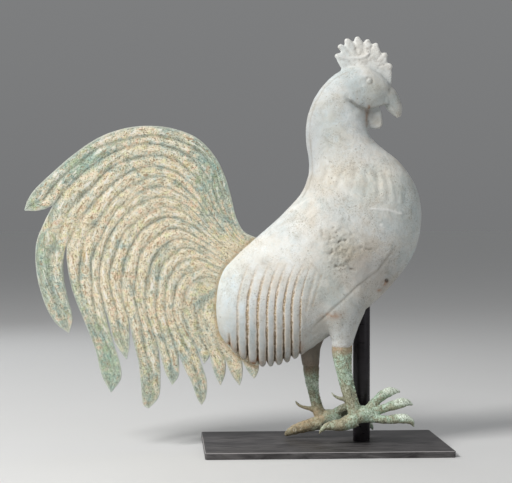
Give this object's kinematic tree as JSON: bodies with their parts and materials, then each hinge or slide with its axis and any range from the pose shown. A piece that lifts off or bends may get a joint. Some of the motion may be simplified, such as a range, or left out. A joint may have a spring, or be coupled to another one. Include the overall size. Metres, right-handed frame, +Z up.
{
  "type": "cockerel weathervane on a display stand",
  "caption": "Full-bodied cast cockerel weathervane with a ribbed sheet tail and cast legs, held by a steel post on a flat steel plate.",
  "frame": {"origin": "the middle of the base plate's underside", "axes": "+X the way the cockerel faces, +Y to its left, away from the viewer of the picture, +Z up"},
  "size_m": [0.6555, 0.203, 0.6462],
  "materials": {
    "zinc": "weathered pale cast zinc, matt grey-white with rust stains",
    "sheet_copper": "weathered sheet copper, granular pale gold and grey-green",
    "verdigris": "cast copper alloy mottled with pale green verdigris and brown",
    "black_steel": "satin black painted steel"
  },
  "bodies": {
    "root": {"cockerel_body": "zinc", "tail_sheet": "sheet_copper", "right_leg": "verdigris", "left_leg": "verdigris", "support_post": "black_steel", "base_plate": "black_steel"}
  },
  "joints": []
}
